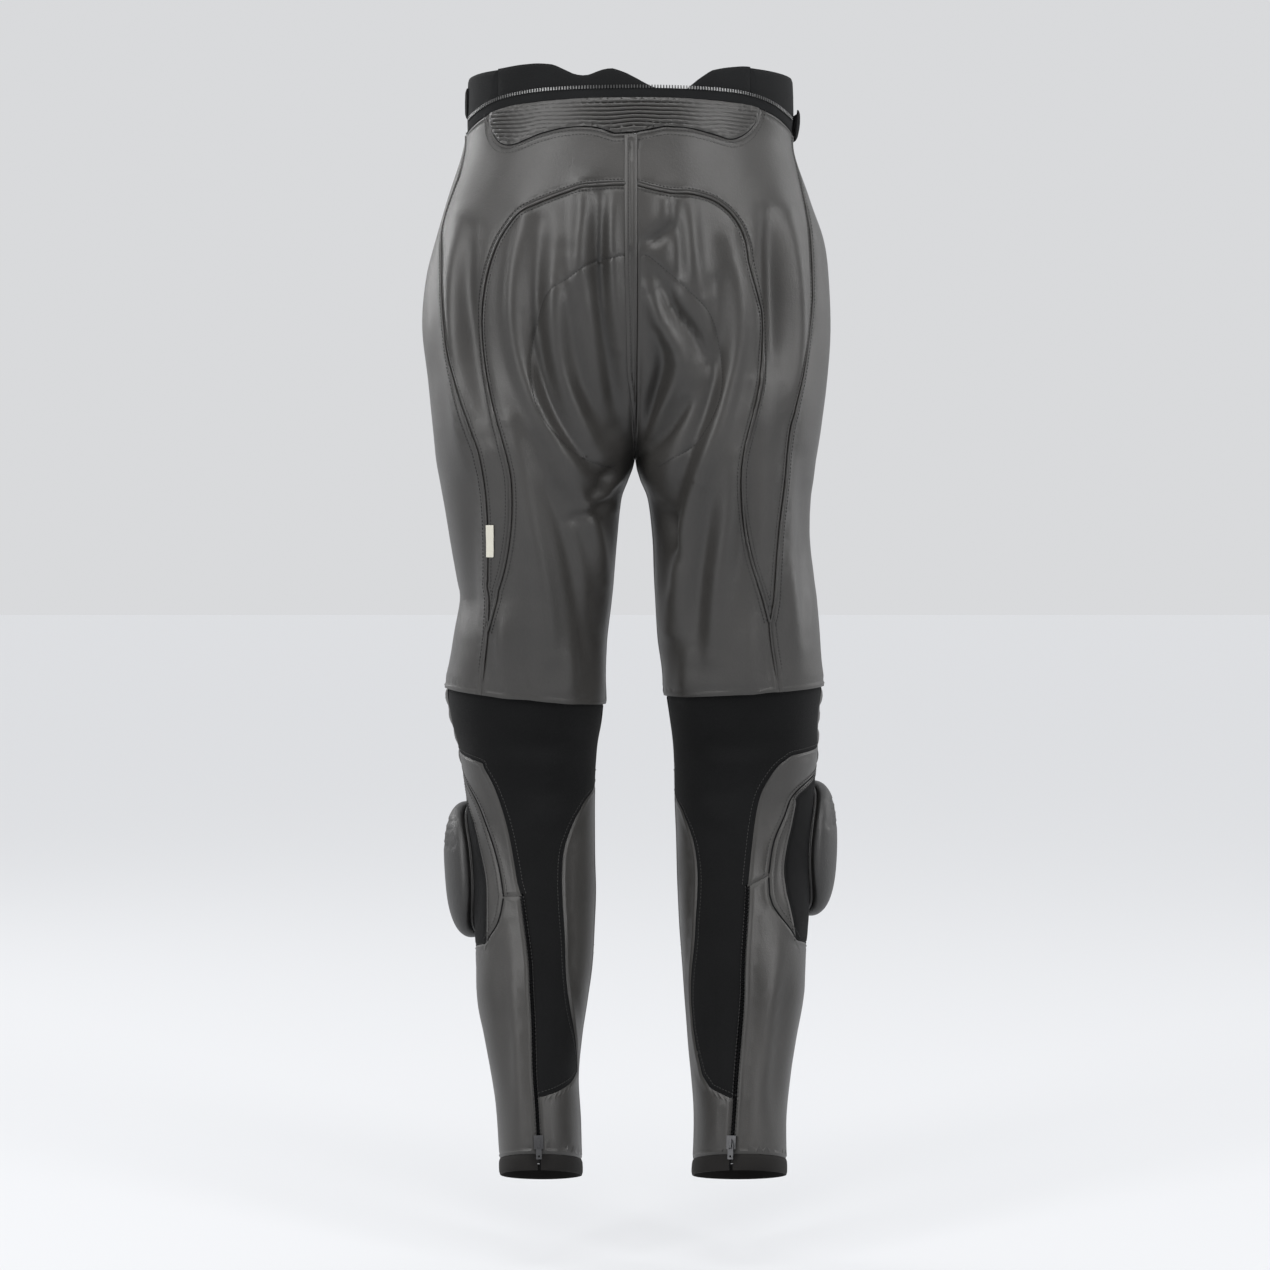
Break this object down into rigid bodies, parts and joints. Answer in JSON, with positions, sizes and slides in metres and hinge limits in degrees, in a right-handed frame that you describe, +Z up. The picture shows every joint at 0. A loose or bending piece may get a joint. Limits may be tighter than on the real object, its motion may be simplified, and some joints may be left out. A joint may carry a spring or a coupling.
{
  "type": "motorcycle trousers, worn shape",
  "caption": "Leather motorcycle trousers held in their worn shape, with stretch calf panels, knee pucks, calf zips and an elastic back waist.",
  "frame": {"origin": "centre of the waist opening, level with the top edge of the leather", "axes": "+Z up, +Y towards the wearer's front, +X towards the wearer's right"},
  "size_m": [0.389, 0.2394, 1.0207],
  "materials": {
    "leather": "satin",
    "stretch": "matte",
    "webbing": "matte",
    "trim": "matte",
    "tag": "matte",
    "puck": "satin",
    "metal": "satin"
  },
  "bodies": {
    "garment": {"back_lumbar": "leather", "fly_flap": "leather", "back_elastic": "webbing", "waist_zip_tape": "webbing", "waist_tab": "webbing", "side_tag": "tag", "yoke_left": "leather", "seat_left": "leather", "front_thigh_left": "leather", "knee_ribs_left": "leather", "knee_side_left": "leather", "knee_arc_left": "leather", "knee_cup_left": "leather", "shin_left": "leather", "calf_outer_left": "leather", "calf_inner_left": "leather", "knee_stretch_left": "stretch", "grip_panel_left": "webbing", "calf_zip_left": "webbing", "waist_side_left": "webbing", "waist_adjuster_left": "webbing", "hem_band_left": "trim", "knee_slider_left": "puck", "zip_slider_left": "metal", "yoke_right": "leather", "seat_right": "leather", "front_thigh_right": "leather", "knee_ribs_right": "leather", "knee_side_right": "leather", "knee_arc_right": "leather", "knee_cup_right": "leather", "shin_right": "leather", "calf_outer_right": "leather", "calf_inner_right": "leather", "knee_stretch_right": "stretch", "grip_panel_right": "webbing", "calf_zip_right": "webbing", "waist_side_right": "webbing", "waist_adjuster_right": "webbing", "hem_band_right": "trim", "knee_slider_right": "puck", "zip_slider_right": "metal"},
    "pull_left": {"zip_pull_left": "metal"},
    "pull_right": {"zip_pull_right": "metal"}
  },
  "joints": [
    {"name": "zip_pull_left_hinge", "type": "hinge", "parent": "garment", "child": "pull_left", "pos_m": [-0.08638, -0.10621, -0.94465], "axis": [-0.9991, -0.025, -0.0344], "range_deg": [0, 150]},
    {"name": "zip_pull_right_hinge", "type": "hinge", "parent": "garment", "child": "pull_right", "pos_m": [0.08567, -0.10493, -0.94498], "axis": [-0.9662, 0.2568, -0.0226], "range_deg": [0, 150]}
  ]
}
